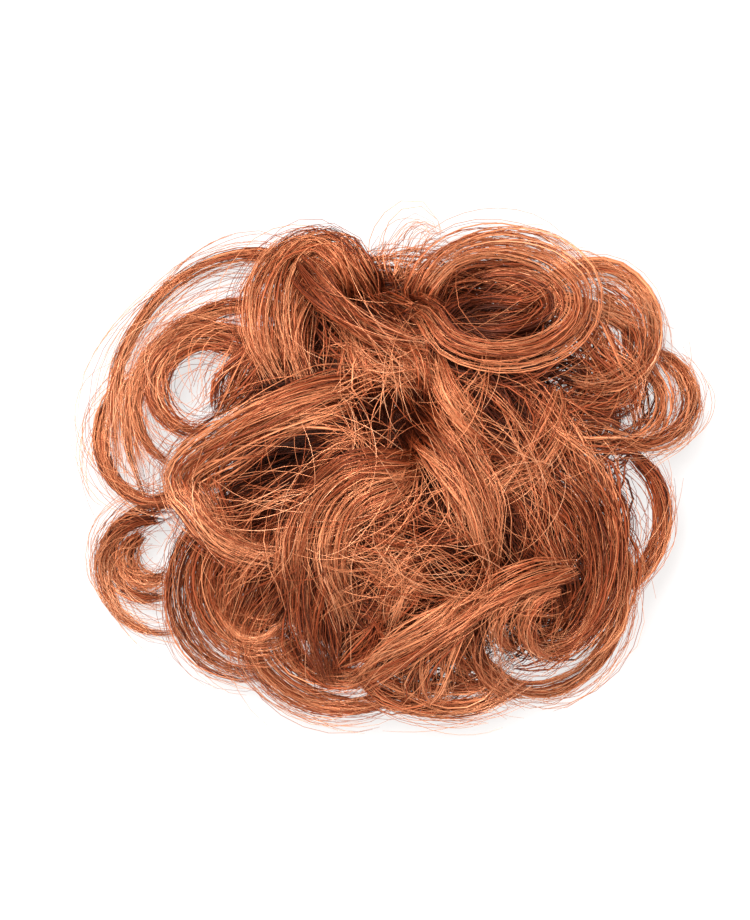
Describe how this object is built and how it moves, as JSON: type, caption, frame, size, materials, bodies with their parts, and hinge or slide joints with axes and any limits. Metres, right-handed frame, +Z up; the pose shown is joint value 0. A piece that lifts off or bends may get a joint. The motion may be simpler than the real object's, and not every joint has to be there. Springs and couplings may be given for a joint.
{
  "type": "hair topper",
  "caption": "Curly auburn hair topper lying flat: loose curled locks sewn in sections over a small domed base with a comb underneath.",
  "frame": {"origin": "on the table under the middle of the whole piece", "axes": "+Z up, +X to the right as the picture shows it, +Y towards the top of the picture"},
  "size_m": [0.1845, 0.1488, 0.0516],
  "materials": {
    "hair": "glossy fine hair strands",
    "base_net": "matte woven net with taped hem",
    "comb": "satin moulded plastic"
  },
  "bodies": {
    "root": {"base": "base_net", "comb": "comb", "crown_locks": "hair", "upper_left_locks": "hair", "upper_right_locks": "hair", "lower_left_locks": "hair", "lower_right_locks": "hair"}
  },
  "joints": []
}
